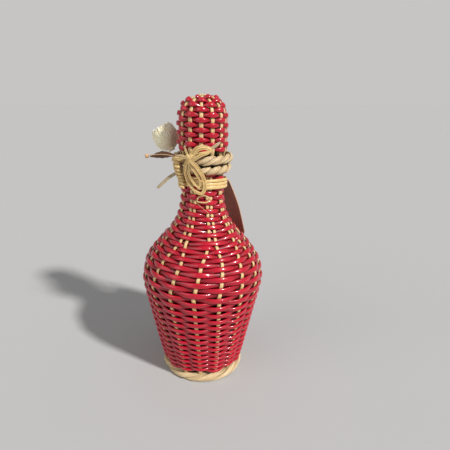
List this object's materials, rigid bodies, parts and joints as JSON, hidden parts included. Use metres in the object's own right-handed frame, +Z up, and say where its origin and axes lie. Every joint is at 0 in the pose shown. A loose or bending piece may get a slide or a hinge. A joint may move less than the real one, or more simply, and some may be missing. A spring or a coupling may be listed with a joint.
{
  "type": "bottle",
  "caption": "Glass bottle in a woven willow jacket with a plaited foot and collar, a woven cap on a cork that lifts off, a raffia bow with a flower, and a swinging tag.",
  "frame": {"origin": "middle of the plaited foot, on the surface the bottle stands on", "axes": "+Z up along the bottle's axis, -Y towards the side with the bow, +X to the right of it"},
  "size_m": [0.122, 0.1219, 0.2786],
  "materials": {
    "bottle_glass": "gloss",
    "natural_willow": "satin",
    "plaited_willow": "satin",
    "red_willow": "gloss",
    "raffia": "matte",
    "cream_shaving": "matte",
    "dry_leaf": "matte",
    "berry_tan": "satin",
    "string": "matte",
    "tag_card": "matte",
    "cork": "matte"
  },
  "bodies": {
    "bottle": {"glass_bottle": "bottle_glass", "stake_01": "natural_willow", "stake_02": "natural_willow", "stake_03": "natural_willow", "stake_04": "natural_willow", "stake_05": "natural_willow", "stake_06": "natural_willow", "stake_07": "natural_willow", "stake_08": "natural_willow", "stake_09": "natural_willow", "stake_10": "natural_willow", "stake_11": "natural_willow", "stake_12": "natural_willow", "stake_13": "natural_willow", "stake_14": "natural_willow", "stake_15": "natural_willow", "stake_16": "natural_willow", "base_sticks_lower": "natural_willow", "base_sticks_upper": "natural_willow", "base_weaver_a": "natural_willow", "base_weaver_b": "natural_willow", "base_border": "plaited_willow", "neck_border": "plaited_willow", "weaver_a": "red_willow", "weaver_b": "red_willow", "raffia_wrap": "raffia", "bow_knot": "raffia", "bow_loop_outer": "raffia", "bow_loop_inner": "raffia", "bow_loop_side": "raffia", "bow_end_rising": "raffia", "bow_end_short": "raffia", "raffia_tail": "raffia", "front_twist": "raffia", "stem_bundle": "raffia", "flower": "cream_shaving", "leaf": "dry_leaf", "berry": "berry_tan", "tag_loop": "string"},
    "cap": {"cork": "cork", "cork_head": "cork", "cap_stake_01": "natural_willow", "cap_stake_02": "natural_willow", "cap_stake_03": "natural_willow", "cap_stake_04": "natural_willow", "cap_stake_05": "natural_willow", "cap_stake_06": "natural_willow", "cap_stake_07": "natural_willow", "cap_stake_08": "natural_willow", "cap_stake_09": "natural_willow", "cap_stake_10": "natural_willow", "cap_stake_11": "natural_willow", "cap_stake_12": "natural_willow", "cap_stake_13": "natural_willow", "cap_weaver": "red_willow", "cap_border": "plaited_willow", "crown_cross_lower": "natural_willow", "crown_cross_upper": "natural_willow"},
    "tag": {"tag": "tag_card"}
  },
  "joints": [
    {"name": "cap_lift", "type": "slide", "parent": "bottle", "child": "cap", "axis": [0, 0, 1], "range_m": [0, 0.06]},
    {"name": "tag_swing", "type": "hinge", "parent": "bottle", "child": "tag", "pos_m": [0.02007, 0.01938, 0.19854], "axis": [0.6947, -0.7193, 0], "range_deg": [0, 90]}
  ]
}
